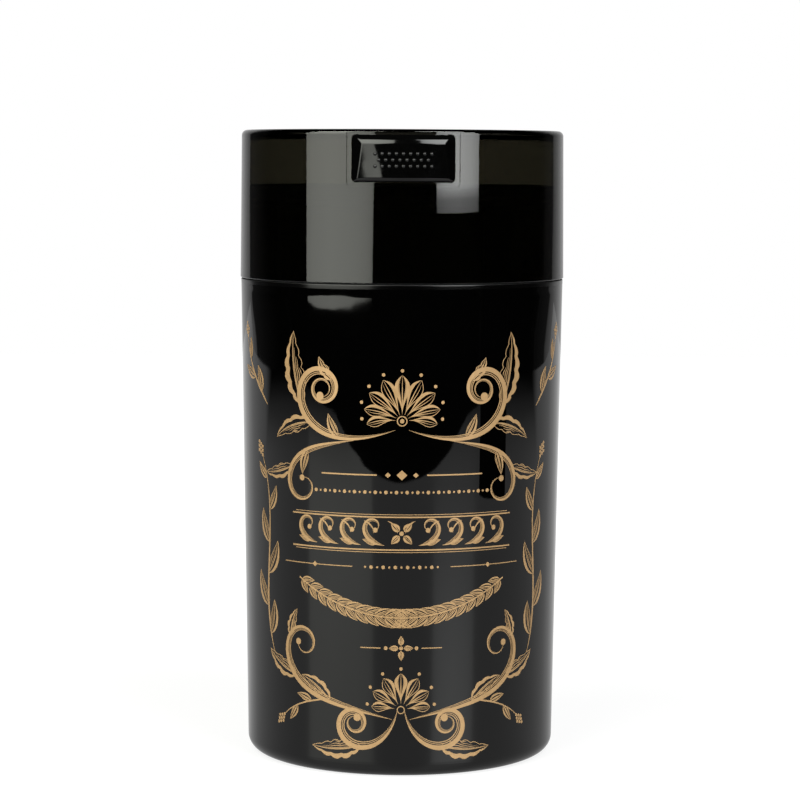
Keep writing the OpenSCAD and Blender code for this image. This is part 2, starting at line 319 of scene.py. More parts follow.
# The backdrop's radiance in reflections, by azimuth and by the ray's rise, and the dark room's
BACKDROP = [
    (-180, 0.62), (-160, 0.56), (-155, 0.53), (-147, 0.42), (-140.6, 0.3), (-140.2, 0.04), (-130, 0.03),
    (-120, 0.015), (-110, 0), (-98.6, 0), (-98.1, 0.03), (-97.6, 0), (68.1, 0), (68.6, 0.03),
    (69.1, 0), (115, 0), (122.2, 0.01), (122.7, 0.09), (123.2, 0.02), (125, 0.03), (135.5, 0.04),
    (135.9, 0.17), (137.5, 0.23), (147, 0.4), (157, 0.52), (180, 0.6),
]
BACKDROP_RISE = [(-1, 1), (0.35, 1), (0.6, 0), (1, 0)]
# Degrees by which the backdrop's edges stand further forward, by the ray's rise
BACKDROP_SPREAD = [(-0.1, 12), (-0.082, 11.7), (-0.062, 4), (-0.01, 0), (0, 0)]
ROOM_GREY = 0.35
# Rise of a ray above which even glass sees no more of the white backdrop
WHITE_RISE = (0.4, 0.6)


def light_world():
    """White behind the object for camera and glass, and a dark room on the camera's side."""
    world = bpy.data.worlds.new("world")
    bpy.context.scene.world = world
    nodes = Nodes(world)
    angle, rise = nodes.azimuth(nodes.add("TexCoord").outputs["Generated"])
    spread = nodes.math("MULTIPLY", nodes.curve(rise, BACKDROP_SPREAD), nodes.math("SIGN", angle))
    spread_angle = nodes.math("ADD", angle, spread)
    mirror = nodes.math("MULTIPLY", nodes.curve(spread_angle, BACKDROP), nodes.curve(rise, BACKDROP_RISE))
    mirror = nodes.math("MULTIPLY", mirror, nodes.not_inside())
    mirror = nodes.add("Background", {"Color": WHITE, "Strength": mirror}).outputs[0]
    room = nodes.add("Background", {"Color": WHITE, "Strength": ROOM_GREY}).outputs[0]
    white = nodes.add("Background", {"Color": WHITE, "Strength": 1.0}).outputs[0]
    surface = nodes.mix(nodes.add("LightPath").outputs["Is Diffuse Ray"], mirror, room)
    low = nodes.smooth(rise, *WHITE_RISE, 1.0, 0.0)
    seen = nodes.math("MULTIPLY", nodes.sees_backdrop(), low)
    nodes.finish(nodes.mix(seen, surface, white), "OutputWorld")


# Finishes

# The jar's shoulder: a faint flare between two heights, a satin rim and a dull outer edge
FLARE = (0.173, 0.1777)
FLARE_DEPTH = 0.036
SATIN = (0.176, 0.1763)
SATIN_ROUGHNESS = 0.13
EDGE = (0.1775, 0.1777)
EDGE_ROUGHNESS = 0.35
JAR_DARK = (0.0003, 0.0003, 0.0003)
JAR_LIGHT = (0.0006, 0.0006, 0.0006)
# Slow waves from moulding: so many a metre, so many millimetres deep
JAR_WAVES = (85, 0.016)
CAP_WAVES = (60, 0.0045)
RUBBER_WAVES = (150, 0.02)
SMOKE_DARK = (0.102, 0.097, 0.075)
SMOKE_LIGHT = (0.112, 0.107, 0.083)
INK_DARK = (0.4, 0.245, 0.11)
INK_LIGHT = (0.5, 0.315, 0.15)
INK_METAL = 0.3
INK_ROUGHNESS = (0.32, 0.46)
# Grey level and roughness
PAD_RUBBER = (0.001, 0.06)
SEAL_RUBBER = (0.02, 0.5)


def moulding(nodes, waves):
    """Relief layer of slow waves."""
    return nodes.noise(waves[0], 1), waves[1] * MM


def principled(nodes, **inputs):
    """Ends a material in the standard shader; an underscore stands for a space in its inputs' names."""
    named = {key.replace("_", " "): value for key, value in inputs.items()}
    nodes.finish(nodes.add("BsdfPrincipled", {"IOR": IOR, **named}).outputs[0])


def gloss_black():
    """Polished black plastic: slow waves from moulding, faint rubs, and a satin shoulder."""
    material = bpy.data.materials.new("jar_black")
    nodes = Nodes(material)
    _, z = nodes.place()
    satin = nodes.smooth(z, *SATIN, 0, SATIN_ROUGHNESS)
    dull = nodes.math("ADD", satin, nodes.smooth(z, *EDGE, 0, EDGE_ROUGHNESS))
    rubs = nodes.smooth(nodes.noise(420, 3, (1, 1, 0.06)), 0.66, 0.78, 0.0, 0.03)
    sheen = nodes.smooth(nodes.noise(35), 0.3, 0.7, 0.012, 0.025)
    rough = nodes.math("ADD", nodes.math("ADD", rubs, sheen), dull)
    flare = (nodes.smooth(z, *FLARE), FLARE_DEPTH * MM)
    normal = nodes.relief(moulding(nodes, JAR_WAVES), flare, (nodes.noise(3000), 0.0004 * MM))
    colour = nodes.tint(nodes.noise(600), JAR_DARK, JAR_LIGHT)
    principled(nodes, Base_Color=colour, Roughness=rough, Normal=normal)
    return material


# The cap's outer wall: heights of its ends, its radius at the rim, its taper, and the land's depth
CAP_WALL = (0.1786, 0.2306)
CAP_RIM = (0.17815, 0.06045)
CAP_TAPER = 0.45 / 54.65
LAND_DEPTH = 0.0003
LAND_TOP = 0.2317
WALL_TOLERANCE = 0.00006


def on_wall_skin(nodes, z, radius):
    """1 on the cap's outer wall and the button's land, by height and distance from the axis."""
    wall = nodes.math("SUBTRACT", CAP_RIM[1] + CAP_RIM[0] * CAP_TAPER, nodes.math("MULTIPLY", z, CAP_TAPER))
    depth = nodes.math("SUBTRACT", wall, radius)
    skins = []
    for skin_depth, top in ((0.0, CAP_WALL[1]), (LAND_DEPTH, LAND_TOP)):
        near = nodes.math("COMPARE", depth, skin_depth, WALL_TOLERANCE)
        skins.append(nodes.math("MULTIPLY", near, nodes.math("LESS_THAN", z, top)))
    above = nodes.math("GREATER_THAN", z, CAP_WALL[0])
    return nodes.math("MULTIPLY", nodes.math("MAXIMUM", *skins), above)


def turned_normal(nodes):
    """The mesh's own normal, but that of the true cone on the cap's outer wall and land."""
    place, z = nodes.place()
    x, y, _ = nodes.add("SeparateXYZ", {"Vector": place}).outputs
    flat = nodes.add("CombineXYZ", {"X": x, "Y": y}).outputs[0]
    radius = nodes.add("VectorMath", {0: flat}, operation="LENGTH").outputs["Value"]
    lean = nodes.math("MULTIPLY", radius, CAP_TAPER)
    cone = nodes.add("CombineXYZ", {"X": x, "Y": y, "Z": lean}).outputs[0]
    to_world = {"vector_type": "NORMAL", "convert_from": "OBJECT", "convert_to": "WORLD"}
    cone = nodes.add("VectorTransform", {"Vector": cone}, **to_world).outputs[0]
    geometry = nodes.add("NewGeometry").outputs
    facing = nodes.math("SUBTRACT", 1.0, nodes.math("MULTIPLY", geometry["Backfacing"], 2.0))
    cone = nodes.add("VectorMath", {0: cone, "Scale": facing}, operation="SCALE").outputs[0]
    cone = nodes.add("VectorMath", {0: cone}, operation="NORMALIZE").outputs[0]
    mix = nodes.add("Mix", data_type="VECTOR")
    for index, value in ((0, on_wall_skin(nodes, z, radius)), (4, geometry["Normal"]), (5, cone)):
        nodes.feed(mix.inputs[index], value)
    return mix.outputs[1]


def smoke_plastic():
    """See-through smoke tint with slow moulding waves and a fine haze here and there."""
    material = bpy.data.materials.new("smoke_plastic")
    nodes = Nodes(material)
    tint = nodes.tint(nodes.noise(25), SMOKE_DARK, SMOKE_LIGHT)
    haze = nodes.smooth(nodes.noise(55, 3), 0.45, 0.8, 0.0, 0.018)
    normal = nodes.relief(moulding(nodes, CAP_WAVES), start=turned_normal(nodes))
    principled(nodes, Base_Color=tint, Roughness=haze, Transmission_Weight=1.0, Normal=normal)
    return material


def rubber(name, grey, roughness):
    """Moulded elastomer with a fine grain, slow waves and uneven sheen."""
    material = bpy.data.materials.new(name)
    nodes = Nodes(material)
    shade = nodes.smooth(nodes.noise(900, 3), 0.3, 0.7)
    colour = nodes.tint(shade, (grey * 0.8,) * 3, (grey * 1.2,) * 3)
    rough = nodes.smooth(nodes.noise(260, 3), 0.3, 0.75, roughness * 0.8, roughness * 1.3)
    normal = nodes.relief(moulding(nodes, RUBBER_WAVES), (nodes.noise(5200), 0.0012 * MM))
    principled(nodes, Base_Color=colour, Roughness=rough, Normal=normal)
    return material


def gold_ink():
    """Screen-printed metallic ink: speckled colour, uneven sheen and a fine grain."""
    material = bpy.data.materials.new("gold_ink")
    nodes = Nodes(material)
    colour = nodes.tint(nodes.noise(1400, 3), INK_DARK, INK_LIGHT)
    rough = nodes.smooth(nodes.noise(500, 3), 0.3, 0.7, *INK_ROUGHNESS)
    normal = nodes.relief(moulding(nodes, JAR_WAVES), (nodes.noise(6000), 0.001 * MM))
    principled(nodes, Base_Color=colour, Roughness=rough, Metallic=INK_METAL, Normal=normal)
    return material


def dress(node, material):
    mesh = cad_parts[node].data
    mesh.materials.clear()
    mesh.materials.append(material)


# Button: a soft pad in the outline of the part's own, in millimetres

LIP_THICKNESS = 1.05
FLANK_WIDTH = 1.7
SIDE_WIDTH = 2.4
# Under the face the flank widens and its bevel thins out towards the two ends
CHIN_WIDTH = 0.6
CHIN_BOW = 0.35
CHIN_BEVEL = 0.45
FLANK_HEIGHT = 1.5
BEVEL_WIDTH = 1.5
BEVEL_HEIGHT = 0.75
# Bend of the face seen from above, in the middle and how much less at its top edge than at its bottom
FACE_BEND = 0.0205
FACE_TWIST = 0.01
FACE_LEAN = 0.15
PAD_CORNER = 1.6
DOT_ROWS = 3
DOT_COLUMNS = 9
DOT_PITCH = 2.5
ROW_PITCH = 2.2
DOT_RADIUS = 0.7
DOT_SINK = 0.2
DOT_SIDES = 20
DOT_RINGS = 6
LIP_RADIUS = 59.886
# Where the flank starts at the pad's outline
RIM_RISE = -0.2
CORNER_DROP = -0.4
# The soft edges between flank, bevel and face
EDGE_BLEND = 0.12
PAD_STEP = 0.2
# Edges that turn by more stay sharp
PAD_CREASE = radians(50)

pad_low, pad_high = (Vector(corner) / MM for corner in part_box("button_pad"))
pad_half = (pad_high.x - pad_low.x) / 2
pad_middle = (pad_high.z + pad_low.z) / 2
face_reach = LIP_RADIUS + RIM_RISE + FLANK_HEIGHT + BEVEL_HEIGHT


def front_y(radius, x):
    """Y at the front of an upright cylinder on the axis, at distance x to the side."""
    return -sqrt(radius * radius - x * x)


def face_y(x, z):
    rise = (z - pad_middle) / (pad_high.z - pad_low.z)
    return (FACE_BEND - FACE_TWIST * rise) * x * x / 2 - face_reach - FACE_LEAN * rise


def soft_min(values, blend):
    """Smallest value, rounded off where two come close."""
    low = min(values)
    near = sum(max(0.0, 1 - (value - low) / blend) ** 3 for value in values) - 1
    return low - near * blend / 8


def flank_share(across, up):
    """Rise over the flanks at shares of their two widths from the outline, round at the corner."""
    if max(across, up) < 1:
        return 1 - hypot(1 - across, 1 - up)
    return min(across, up)


def pad_rise(x, z):
    """Height of the pad's skin over its lip at a place in the front view."""
    top = pad_high.z - z
    chin = z - pad_low.z
    chin_width = CHIN_WIDTH + CHIN_BOW * (x / pad_half) ** 4
    chin_bevel = CHIN_BEVEL * (1 - (x / pad_half) ** 4)
    side = (pad_half - abs(x)) / SIDE_WIDTH
    gentle = BEVEL_HEIGHT / BEVEL_WIDTH
    face = hypot(x, face_y(x, z)) - LIP_RADIUS - RIM_RISE
    skins = [
        FLANK_HEIGHT * flank_share(side, top / FLANK_WIDTH),
        FLANK_HEIGHT + gentle * (top - FLANK_WIDTH),
        (face - chin_bevel) * chin / chin_width,
        face - chin_bevel + gentle * (chin - chin_width),
        face,
    ]
    return RIM_RISE + max(CORNER_DROP, soft_min(skins, EDGE_BLEND))


def into_corner(x, z, half_width, half_height, corner):
    """Moves a place beyond one of a rectangle's round corners onto its arc."""
    core_x = half_width - corner
    core_z = half_height - corner
    over_x, over_z = abs(x) - core_x, abs(z) - core_z
    reach = hypot(over_x, over_z)
    if min(over_x, over_z) <= 0 or reach <= corner:
        return x, z
    over_x, over_z = over_x * corner / reach, over_z * corner / reach
    return (core_x + over_x) * (1 if x > 0 else -1), (core_z + over_z) * (1 if z > 0 else -1)


def steps(low, high, step):
    count = round((high - low) / step)
    return [low + (high - low) * i / count for i in range(count + 1)]


def sheet_pair(columns, rows):
    """Faces of a closed body of two sheets, each columns by rows points, front sheet first."""
    def at(sheet, i, j):
        return (sheet * columns + i) * rows + j

    faces = []
    for i in range(columns - 1):
        for j in range(rows - 1):
            front = (at(0, i, j), at(0, i + 1, j), at(0, i + 1, j + 1), at(0, i, j + 1))
            faces.append(front)
            faces.append(tuple(k + columns * rows for k in reversed(front)))
    border = [(i, 0) for i in range(columns)] + [(columns - 1, j) for j in range(1, rows)]
    border += [(i, rows - 1) for i in reversed(range(columns - 1))]
    border += [(0, j) for j in reversed(range(rows - 1))]
    for (i, j), (k, m) in zip(border, border[1:]):
        faces.append((at(0, k, m), at(0, i, j), at(1, i, j), at(1, k, m)))
    return faces


def add_pad(material):
    xs = steps(-pad_half, pad_half, PAD_STEP)
    zs = steps(pad_low.z, pad_high.z, PAD_STEP)
    front, back = [], []
    for x in xs:
        for z in zs:
            u, v = into_corner(x, z - pad_middle, pad_half, (pad_high.z - pad_low.z) / 2, PAD_CORNER)
            v += pad_middle
            front.append((u * MM, front_y(LIP_RADIUS + pad_rise(u, v), u) * MM, v * MM))
            back.append((u * MM, front_y(LIP_RADIUS - LIP_THICKNESS, u) * MM, v * MM))
    pad = new_mesh("pad", front + back, sheet_pair(len(xs), len(zs)), smooth=True)
    pad.data.set_sharp_from_angle(angle=PAD_CREASE)
    finish_piece(pad, material, "button")
    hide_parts("button_pad")


def add_dots(material):
    """Staggered rows of domes that stand out of the pad's face."""
    points, faces = [], []
    middle = (pad_low.z + CHIN_WIDTH + pad_high.z - FLANK_WIDTH) / 2
    for row in range(DOT_ROWS):
        count = DOT_COLUMNS - row % 2
        z = middle + (row - (DOT_ROWS - 1) / 2) * ROW_PITCH
        for i in range(count):
            x = (i - (count - 1) / 2) * DOT_PITCH
            add_dome(points, faces, Vector((x, face_y(x, z) + DOT_SINK, z)))
    dots = new_mesh("grip_dots", points, faces, smooth=True)
    finish_piece(dots, material, "button")


def add_dome(points, faces, centre):
    """Front half of a sphere, closed at the back by a flat face."""
    start = len(points)
    for k in range(DOT_RINGS):
        tilt = pi / 2 * k / DOT_RINGS
        for i in range(DOT_SIDES):
            turn = 2 * pi * i / DOT_SIDES
            out = Vector((cos(turn) * cos(tilt), -sin(tilt), sin(turn) * cos(tilt)))
            points.append((centre + out * DOT_RADIUS) * MM)
    points.append((centre - Vector((0, DOT_RADIUS, 0))) * MM)
    for k in range(DOT_RINGS - 1):
        first = start + k * DOT_SIDES
        for i in range(DOT_SIDES):
            a, b = first + i, first + (i + 1) % DOT_SIDES
            faces.append((a, b, b + DOT_SIDES, a + DOT_SIDES))
    last = start + (DOT_RINGS - 1) * DOT_SIDES
    for i in range(DOT_SIDES):
        faces.append((last + i, last + (i + 1) % DOT_SIDES, len(points) - 1))
    faces.append(tuple(start + i for i in reversed(range(DOT_SIDES))))


# Neck seal and valve flap, also with the part's own sizes in millimetres

SEAL_BACK = 56.25
SEAL_FRONT = 57.45
SEAL_LIP = 57.83
SEAL_LIP_ROOT = 0.75
SEAL_LIP_TIP = 0.25
SEAL_EDGE = 0.25
SEAL_SIDES = 180
SEAL_CREASE = radians(40)
FLAP_INSIDE = 54.286
FLAP_OUTSIDE = 55.686
FLAP_WIDTH = 27.0
FLAP_HEIGHT = 10.0
FLAP_CORNER = 4.0
FLAP_EDGE = 0.5
FLAP_STEP = 0.5
STEM_AT = 9.0
STEM_RADIUS = 1.6
STEM_SIDES = 40
HEAD_RADIUS = 2.2
HEAD_TIP = 1.3
HEAD_LENGTH = 0.9
THROAT = 0.6


def turned(profile, place, count, closed=True):
    """Points and faces of a profile of (radius, along), turned round an axis by the function place."""
    size = len(profile)
    points = [place(2 * pi * i / count, *spot) for i in range(count) for spot in profile]
    faces = []
    for i in range(count):
        first, second = i * size, (i + 1) % count * size
        for j in range(size if closed else size - 1):
            k = (j + 1) % size
            faces.append((first + j, second + j, second + k, first + k))
    if not closed:
        faces.append(tuple(i * size for i in reversed(range(count))))
        faces.append(tuple(i * size + size - 1 for i in range(count)))
    return points, faces


def add_seal(material):
    """Ring with two lips and soft edges."""
    low, high = (corner.z / MM for corner in map(Vector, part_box("neck_seal")))
    quarter = (high - low) / 4
    profile = [(SEAL_BACK, high - SEAL_EDGE), (SEAL_BACK, low + SEAL_EDGE), (SEAL_BACK + SEAL_EDGE, low)]
    profile += [(SEAL_FRONT - SEAL_EDGE, low), (SEAL_FRONT, low + SEAL_EDGE / 2)]
    for middle in (low + quarter, high - quarter):
        profile += [(SEAL_FRONT, middle - SEAL_LIP_ROOT), (SEAL_LIP, middle - SEAL_LIP_TIP)]
        profile += [(SEAL_LIP + SEAL_LIP_TIP / 3, middle)]
        profile += [(SEAL_LIP, middle + SEAL_LIP_TIP), (SEAL_FRONT, middle + SEAL_LIP_ROOT)]
    profile += [(SEAL_FRONT, high - SEAL_EDGE / 2), (SEAL_FRONT - SEAL_EDGE, high)]
    profile += [(SEAL_BACK + SEAL_EDGE, high)]

    def place(turn, radius, z):
        return Vector((radius * cos(turn), radius * sin(turn), z)) * MM

    points, faces = turned(profile, place, SEAL_SIDES)
    seal = new_mesh("seal_ring", points, faces, smooth=True)
    seal.data.set_sharp_from_angle(angle=SEAL_CREASE)
    finish_piece(seal, material, "jar")
    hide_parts("neck_seal")


def add_flap(material):
    """Curved flap with soft edges and two stems with snap heads."""
    half_width, half_height = FLAP_WIDTH / 2, FLAP_HEIGHT / 2
    xs = steps(-half_width, half_width, FLAP_STEP)
    zs = steps(-half_height, half_height, FLAP_STEP)
    front, back = [], []
    for x in xs:
        for z in zs:
            u, v = into_corner(x, z, half_width, half_height, FLAP_CORNER)
            inset = min(half_width - abs(u), half_height - abs(v))
            round_off = max(0.0, FLAP_EDGE - inset) ** 2 / FLAP_EDGE
            front.append((u * MM, front_y(FLAP_OUTSIDE - round_off, u) * MM, (pad_middle + v) * MM))
            back.append((u * MM, front_y(FLAP_INSIDE + round_off, u) * MM, (pad_middle + v) * MM))
    points, faces = front + back, sheet_pair(len(xs), len(zs))
    for side in (-1, 1):
        add_stem(points, faces, side * STEM_AT)
    flap = new_mesh("flap", points, faces, smooth=True)
    flap.data.set_sharp_from_angle(angle=PAD_CREASE)
    finish_piece(flap, material, "button")
    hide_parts("valve_flap")


def add_stem(points, faces, x):
    root = front_y((FLAP_INSIDE + FLAP_OUTSIDE) / 2, STEM_AT)
    head = front_y(LIP_RADIUS - LIP_THICKNESS, STEM_AT) - THROAT
    profile = [(STEM_RADIUS, root), (STEM_RADIUS, head), (HEAD_RADIUS, head - HEAD_LENGTH / 12)]
    profile += [(HEAD_RADIUS, head - HEAD_LENGTH / 4), (HEAD_TIP, head - HEAD_LENGTH)]

    def place(turn, radius, y):
        return Vector((x + radius * cos(turn), y, pad_middle + radius * sin(turn))) * MM

    start = len(points)
    more_points, more_faces = turned(profile, place, STEM_SIDES, closed=False)
    points += more_points
    faces += [tuple(start + i for i in face) for face in more_faces]


def finish_piece(piece, material, body):
    piece.data.materials.append(material)
    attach(piece, body)


# Printed ornament, drawn flat in millimetres: u to the right from the front's middle, v up from the foot

# Spacing of a line's points, widest quad across a strip, and width of a thin line
LINE_STEP = 0.55
SHEET_STEP = 1.6
THIN = 0.26
# Points of half a disc's outline, of a ring and of the garland's stem
DISC_STEPS = 8
RING_STEPS = 24
GARLAND_STEPS = 30
# A scroll's solid parts across its width, from -1 on the outside of its bend to 1 on the inside
ENGRAVED = ((-1, 0.12), (0.36, 0.54), (0.78, 1))
# Places of a bunch's berries, along it and to its side
BUNCH = ((0, 0), (1.7, 1), (1.7, -1), (3.4, 0), (3.3, 2), (3.3, -2), (5, 1), (5, -1), (6.6, 0))
# The wall that carries the print: heights and radii of its straight part's ends
WALL_LOW = (5.6, 57.49)
WALL_HIGH = (177.45, 60.19)
PRINT_RADIUS = 59.0
PRINT_LIFT = 0.035
PRINT_THICKNESS = 0.06
# Strips that cross lie on different levels, so many of them, so far apart
PRINT_LEVELS = 7
LEVEL_STEP = 0.002


def curl(at, heading, length, bend_from, bend_to, power=1.0):
    """Points of a line whose curvature goes from bend_from to bend_to (1/mm, positive to the left)."""
    count = max(6, round(length / LINE_STEP))
    step = length / count
    (u, v), angle = at, radians(heading)
    path = [(u, v)]
    for i in range(count):
        turn = (bend_from + (bend_to - bend_from) * ((i + 0.5) / count) ** power) * step
        u, v = u + cos(angle + turn / 2) * step, v + sin(angle + turn / 2) * step
        angle += turn
        path.append((u, v))
    return path


def heading_at(path, share):
    """Place and heading in degrees at a share of a path's length."""
    i = min(int(share * (len(path) - 1)), len(path) - 2)
    (u0, v0), (u1, v1) = path[i], path[i + 1]
    return path[i], degrees(atan2(v1 - v0, u1 - u0))


def shares(path):
    return [i / (len(path) - 1) for i in range(len(path))]


def shifted(path, offsets):
    """The path moved sideways, to the left of its heading, by an offset at each point."""
    moved = []
    for i, ((u, v), offset) in enumerate(zip(path, offsets)):
        (u0, v0), (u1, v1) = path[max(i - 1, 0)], path[min(i + 1, len(path) - 1)]
        length = hypot(u1 - u0, v1 - v0) or 1.0
        moved.append((u - (v1 - v0) / length * offset, v + (u1 - u0) / length * offset))
    return moved


class Print:
    """Collects flat strips, each of two edges with the same number of points, and their mirror images."""

    def __init__(self):
        self.strips = []

    def strip(self, left, right, mirror=True):
        self.strips.append((left, right))
        if mirror:
            self.strips.append(tuple([(-u, v) for u, v in edge] for edge in (right, left)))

    def between(self, path, half, low, high):
        """Strip along a path from one share of its half width to another, each from -1 to 1."""
        self.strip(shifted(path, [h * high for h in half]), shifted(path, [h * low for h in half]))

    def swell(self, path, widest, thick_at, tip=0.12):
        """Half widths of a line that swells at a share of its length and thins to both ends."""
        half = []
        for t in shares(path):
            rise = t / thick_at if t < thick_at else (1 - t) / (1 - thick_at)
            half.append((tip + (widest - tip) * sin(rise * pi / 2) ** 1.2) / 2)
        return half

    def stroke(self, path, widest, thick_at=0.4, tip=0.12):
        self.between(path, self.swell(path, widest, thick_at, tip), -1, 1)

    def line(self, path, width=THIN):
        self.between(path, [width / 2] * len(path), -1, 1)

    def rule(self, start, end, v, width):
        count = max(2, int(abs(end - start) / SHEET_STEP))
        self.line([(start + (end - start) * i / count, v) for i in range(count + 1)], width)

    def disc(self, centre, radius, mirror=True):
        turns = [pi * i / DISC_STEPS for i in range(1, DISC_STEPS)]
        top, low = (
            [(centre[0] - radius * cos(a), centre[1] + side * radius * sin(a)) for a in turns]
            for side in (1, -1)
        )
        self.strip(top, low, mirror)

    def ring(self, centre, radius, width):
        turns = [2 * pi * i / RING_STEPS for i in range(RING_STEPS + 1)]
        outer, inner = (
            [(centre[0] + r * cos(a), centre[1] - r * sin(a)) for a in turns]
            for r in (radius + width / 2, radius - width / 2)
        )
        self.strip(outer, inner, mirror=False)

    def lozenge(self, centre, size, mirror=True):
        u, v = centre
        nib = size * 0.04
        top = [(u - size / 2, v + nib), (u, v + size / 2), (u + size / 2, v + nib)]
        low = [(u - size / 2, v - nib), (u, v - size / 2), (u + size / 2, v - nib)]
        self.strip(top, low, mirror)

    def scroll(self, at, heading, length, bends, power, widest, thick_at=0.42, eye=1.2):
        """A swelling line, engraved along its inside, that winds up into a round eye."""
        path = curl(at, heading, length, *bends, power)
        half = self.swell(path, widest, thick_at)
        side = 1 if bends[1] > 0 else -1
        for low, high in ENGRAVED:
            edges = sorted((side * low, side * high))
            self.between(path, half, *edges)
        self.disc(path[-1], eye)
        return path

    def leaf(self, at, heading, length, width, bend=0.0, lobes=0, veins=3, belly=0.75):
        """A leaf along a bent spine: one edge and the rib solid, the other edge outlined and engraved."""
        spine = curl(at, heading, length, bend, bend)
        half = []
        for t in shares(spine):
            swell = sin(pi * t ** belly) ** 0.9 if t < 1 else 0.0
            if lobes:
                swell *= 0.7 + 0.3 * abs(sin(pi * lobes * t)) ** 0.6
            half.append(max(swell * width / 2, 0.03))
        side = 1 if bend >= 0 else -1
        solid = sorted((-side, -side * 0.5))
        self.between(spine, half, *solid)
        self.stroke(spine, THIN * 1.5, 0.3, 0.08)
        rim = [side * h for h in half]
        inner = [side * max(h - THIN, h * 0.4) for h in half]
        edges = (shifted(spine, rim), shifted(spine, inner))
        self.strip(*(edges if side > 0 else reversed(edges)))
        for k in range(veins):
            share = (k + 0.6) / (veins + 0.4)
            first, last = int((0.08 + 0.1 * k) * len(spine)), int((0.92 - 0.13 * k) * len(spine))
            vein = shifted(spine, [side * h * share for h in half])[first:last]
            if len(vein) > 3:
                self.stroke(vein, THIN * 1.1, 0.3, 0.06)

    def shell(self, base, angles, size, width):
        """Fan of round-ended ribs that gets lower towards its sides, each with a bead over it."""
        u, v = base
        for k, angle in enumerate(angles):
            turn = radians(angle)
            start = (u + 2.4 * sin(turn), v + 2.4 * cos(turn))
            length = size * cos(turn * 0.5)
            rib = width * (1 - 0.07 * k)
            self.leaf(start, 90 - angle, length, rib, bend=-0.012 * k, veins=1, belly=1.9)
            bead = (u + (length + 4) * sin(turn * 1.04), v + (length + 4) * cos(turn * 1.04))
            self.disc(bead, 0.62, mirror=k > 0)

    def rosette(self, at, size, turn):
        for k in range(4):
            angle = turn + 90 * k
            inset = size * 0.22
            start = (at[0] + inset * cos(radians(angle)), at[1] + inset * sin(radians(angle)))
            self.leaf(start, angle, size * 0.8, size * 0.5, bend=0.001, veins=1)
        self.disc(at, size * 0.16, mirror=False)

    def beads(self, v, first, last, step, radius):
        """Row of beads, large and small by turns, from the middle outwards."""
        for i in range(int(first / step), int(last / step) + 1):
            self.disc((i * step, v), radius if i % 2 else radius * 0.6, mirror=i > 0)

    def running_scroll(self, v, half, pitch, height):
        """Row of wave scrolls between two double rules."""
        for side in (-1, 1):
            self.rule(0, half, v + side * (height / 2 + 1.1), 0.5)
            self.rule(0, half - 1.5, v + side * (height / 2 + 2.0), 0.22)
        low = v - height / 2
        for i in range(int((half - 4) / pitch)):
            u = 6.2 + i * pitch
            self.scroll((u, low + 0.5), 10, 20.5, (0.06, 0.62), 1.5, 1.9, thick_at=0.3, eye=0.9)
            self.leaf((u + 3.2, low + 0.7), 30, 5.2, 2.0, bend=-0.06, veins=1)
            self.stroke(curl((u - 1.2, v + height / 2 - 0.3), -160, 6, 0.12, 0.3), 0.5)

    def garland(self, v_end, v_middle, half, count):
        """Hanging row of leaf pairs that grows towards the middle."""
        rise = v_end - v_middle
        for i in range(count):
            t = (i + 0.35) / count
            u = half * (1 - t)
            along = 180 + degrees(atan(2 * rise * u / half ** 2))
            at = (u, v_middle + rise * (u / half) ** 2)
            for side in (-1, 1):
                self.leaf(at, along + 38 * side, 5.4 + 2.2 * t, 2.5, bend=-0.05 * side, veins=1)
        us = [half * (1 - k / GARLAND_STEPS) for k in range(GARLAND_STEPS + 1)]
        self.line([(u, v_middle + rise * (u / half) ** 2) for u in us], 0.5)

    def berries(self, at, heading, size):
        turn = radians(heading)
        for along, side in BUNCH:
            u = at[0] + size * (along * cos(turn) - side * 0.95 * sin(turn))
            v = at[1] + size * (along * sin(turn) + side * 0.95 * cos(turn))
            self.disc((u, v), size * 0.82)

    def sprig(self, root, heading, length, bends, leaves, fruit, width=0.9):
        """Stem with leaves at (share, side, length, width) and a bunch of berries at its end."""
        path = curl(root, heading, length, *bends)
        self.stroke(path, width, thick_at=0.25, tip=0.22)
        for share, side, size, wide in leaves:
            at, angle = heading_at(path, share)
            self.leaf(at, angle + 42 * side, size, wide, bend=-0.05 * side, veins=2)
        at, angle = heading_at(path, 1.0)
        self.berries(at, angle, fruit)


def draw_top(ink):
    ink.shell((0, 129.4), (0, 21, 42, 63, 84), 14, 5.4)
    ink.ring((0, 129.4), 1.7, 0.4)
    ink.disc((0, 129.4), 0.8, mirror=False)
    big = ink.scroll((2.4, 126.2), -20, 98, (0.017, 0.36), 1.9, 3.3, eye=1.5)
    at, angle = heading_at(big, 0.42)
    ink.leaf(at, angle - 8, 27, 9.5, bend=0.022, lobes=6, veins=5)
    at, angle = heading_at(big, 0.34)
    ink.leaf(at, angle - 40, 19, 6.5, bend=-0.04, lobes=4, veins=4)
    at, angle = heading_at(big, 0.22)
    ink.leaf(at, angle + 40, 9, 3.4, bend=0.06, veins=2)
    at, angle = heading_at(big, 0.66)
    ink.leaf(at, angle + 150, 10, 4.2, bend=0.08, lobes=3, veins=2)
    at, angle = heading_at(big, 0.16)
    out = ink.scroll((at[0], at[1] - 0.9), angle - 8, 57, (0.0, -0.33), 1.9, 2.3, eye=1.1)
    at, angle = heading_at(out, 0.5)
    ink.leaf(at, angle + 32, 16, 5.6, bend=0.035, lobes=4, veins=3)
    at, angle = heading_at(out, 0.34)
    ink.leaf(at, angle - 36, 9, 3.4, bend=-0.05, veins=2)


